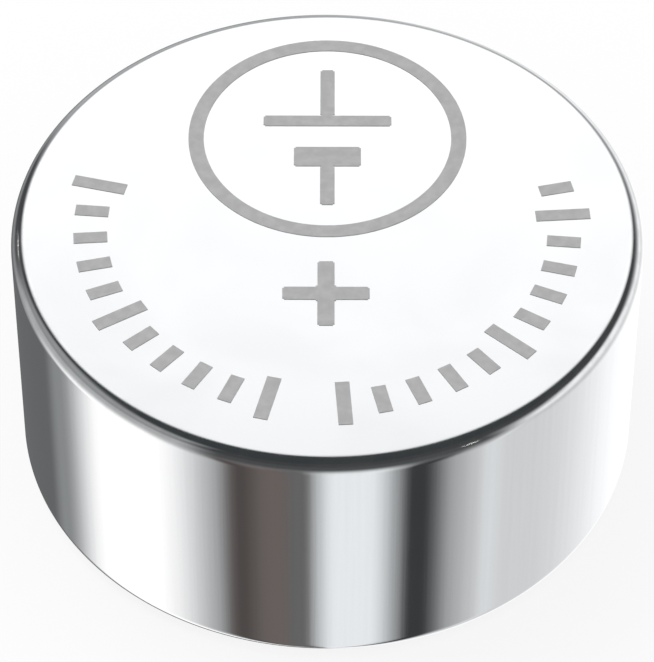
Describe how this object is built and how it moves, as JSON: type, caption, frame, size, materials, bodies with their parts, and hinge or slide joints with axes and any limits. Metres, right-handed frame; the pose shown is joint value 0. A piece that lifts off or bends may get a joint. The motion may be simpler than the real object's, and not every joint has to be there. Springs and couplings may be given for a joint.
{
  "type": "alkaline button cell",
  "caption": "Round flat alkaline cell: a shiny drawn can with a plus mark on its face, rolled in over a moulded gasket and a folded cap, with the electrodes and separators inside.",
  "frame": {"origin": "centre of the negative cap's contact face, on which the cell stands", "axes": "+Z along the cell's axis, from the negative face up to the flat positive face; +Y points away from the viewer of the picture, +X to the right"},
  "size_m": [0.0116, 0.0116, 0.0054],
  "materials": {
    "can_nickel": "bright nickel plate on drawn steel, with faint drawing lines",
    "cap_nickel": "satin nickel face of clad steel sheet",
    "nylon": "natural moulded nylon, slightly waxy",
    "ring_steel": "plain rolled strip",
    "cathode_mix": "pressed black powder with a faint graphite sheen",
    "barrier_film": "smooth regenerated cellulose film",
    "absorbent_pad": "soft nonwoven fibre",
    "zinc_gel": "dull grainy paste of zinc powder"
  },
  "bodies": {
    "root": {"positive_can": "can_nickel", "negative_cap": "cap_nickel", "sealing_gasket": "nylon", "support_ring": "ring_steel", "cathode_pellet": "cathode_mix", "barrier_separator": "barrier_film", "absorbent_separator": "absorbent_pad", "zinc_anode": "zinc_gel"}
  },
  "joints": []
}
